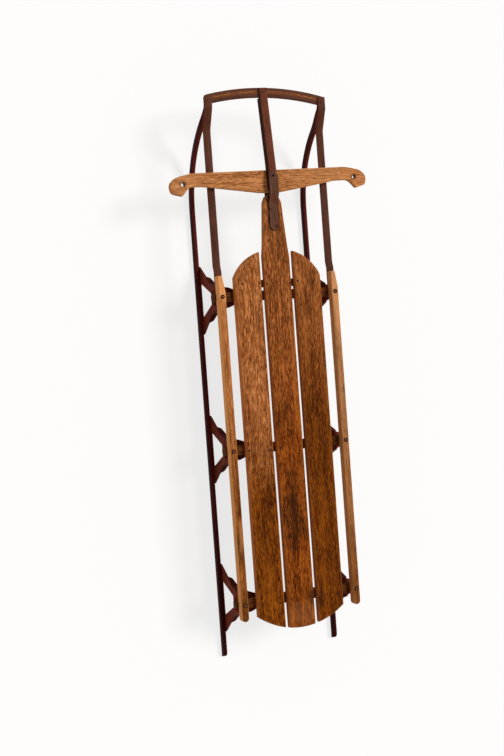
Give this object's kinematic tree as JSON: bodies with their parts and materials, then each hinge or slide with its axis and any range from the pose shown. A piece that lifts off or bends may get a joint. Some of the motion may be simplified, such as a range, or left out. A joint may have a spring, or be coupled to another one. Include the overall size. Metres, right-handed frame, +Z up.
{
  "type": "steel-runner steering sled",
  "caption": "Wooden snow sled on steel runners, with a slatted deck, side rails and a hand-and-foot steering bar that bends the runners.",
  "frame": {"origin": "on the ground, at the middle of the sled's overall length and width", "axes": "+X to the sled's right, +Y forward to the front bar, +Z up"},
  "size_m": [0.5762, 1.52, 0.1802],
  "materials": {
    "runner_steel": "worn dark red paint over rusty steel",
    "knee_steel": "worn dark red paint",
    "strap_steel": "worn brown-red paint, rusty",
    "frame_wood": "old varnish",
    "rail_wood": "old varnish, worn",
    "deck_wood": "old varnish, worn and stained",
    "bar_wood": "old varnish, worn",
    "steering_wood": "old varnish, worn pale",
    "plate_steel": "worn paint, rusty"
  },
  "bodies": {
    "root": {"runner_left": "runner_steel", "runner_right": "runner_steel", "knee_front_left": "knee_steel", "knee_front_right": "knee_steel", "knee_middle_left": "knee_steel", "knee_middle_right": "knee_steel", "knee_rear_left": "knee_steel", "knee_rear_right": "knee_steel", "strap_left": "strap_steel", "strap_right": "strap_steel", "beam_front": "frame_wood", "beam_middle": "frame_wood", "beam_rear": "frame_wood", "front_batten": "frame_wood", "rail_left": "rail_wood", "rail_right": "rail_wood", "slat_left": "deck_wood", "slat_centre": "deck_wood", "slat_right": "deck_wood", "nose_plate_upper": "plate_steel", "nose_plate_lower": "plate_steel", "pivot_rivet": "plate_steel"},
    "steering": {"steering_bar": "steering_wood", "centre_bar": "bar_wood"},
    "front": {"front_bar": "bar_wood"}
  },
  "joints": [
    {"name": "steering_pivot", "type": "hinge", "parent": "root", "child": "steering", "pos_m": [0, 0.524, 0.156], "axis": [0, 0, 1], "range_deg": [-8, 8], "stiffness_Nm_per_rad": 80},
    {"name": "front_bar_shift", "type": "slide", "parent": "root", "child": "front", "axis": [1, 0, 0], "range_m": [-0.034, 0.034]}
  ],
  "couplings": [
    {"joint": "front_bar_shift", "follows": "steering_pivot", "m_per_rad": -0.224}
  ]
}
